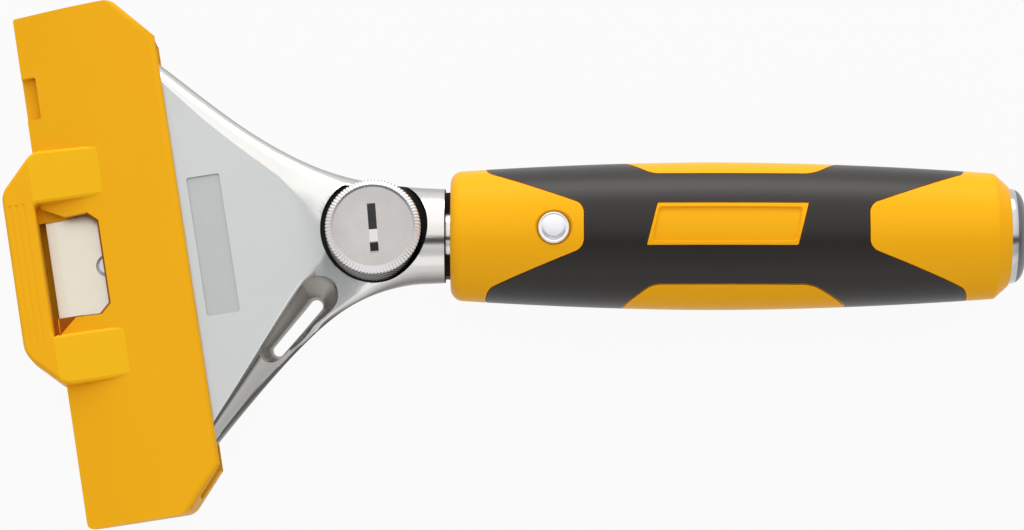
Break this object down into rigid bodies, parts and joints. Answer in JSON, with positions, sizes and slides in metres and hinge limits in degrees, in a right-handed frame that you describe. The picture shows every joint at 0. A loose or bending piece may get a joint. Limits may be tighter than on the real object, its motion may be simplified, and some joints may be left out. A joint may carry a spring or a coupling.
{
  "type": "heavy-duty scraper",
  "caption": "Hand scraper with a cast head that clamps a wide replaceable blade under a knurled knob, a slide-on blade cover and a padded handle with a steel strike cap.",
  "frame": {"origin": "centre of the flat strike face at the butt of the handle", "axes": "+X along the handle axis from the head to the butt, +Z towards the knob side, +Y completes the right-handed frame and points to the upper side in the picture"},
  "size_m": [0.2104, 0.1088, 0.0302],
  "materials": {
    "cast_alloy": "blasted flat faces with polished flanks",
    "blade_steel": "fine ground",
    "knob_steel": "faced and knurled",
    "plain_steel": "plain",
    "bright_steel": "polished",
    "bush_brass": "turned",
    "handle_plastic": "satin moulded",
    "cover_plastic": "satin moulded",
    "grip_rubber": "matte moulded"
  },
  "bodies": {
    "head": {"head_casting": "cast_alloy", "guide_pin_upper": "plain_steel", "guide_pin_lower": "plain_steel", "knob_washer": "plain_steel", "lift_spring": "plain_steel", "core_rod": "plain_steel", "handle_core": "handle_plastic", "grip_sleeve": "grip_rubber", "handle_pin": "bright_steel", "strike_cap": "bright_steel"},
    "clamp": {"clamp_plate": "cast_alloy", "threaded_bush": "bush_brass", "blade_pin": "plain_steel", "blade": "blade_steel"},
    "knob": {"clamp_knob": "knob_steel", "clamp_screw": "plain_steel", "retaining_ring": "plain_steel"},
    "cover": {"blade_cover": "cover_plastic"}
  },
  "joints": [
    {"name": "knob_turn", "type": "hinge", "parent": "head", "child": "knob", "pos_m": [-0.1336, 0, 0], "axis": [0, 0, 1], "range_deg": [0, 432]},
    {"name": "clamp_open", "type": "slide", "parent": "head", "child": "clamp", "axis": [0, 0, -1], "range_m": [0, 0.0012], "deforming": ["lift_spring"]},
    {"name": "cover_slide", "type": "slide", "parent": "head", "child": "cover", "axis": [-0.9871, -0.1599, 0], "range_m": [0, 0.03]}
  ],
  "couplings": [
    {"joint": "knob_turn", "follows": "clamp_open", "rad_per_m": 6283.2}
  ]
}
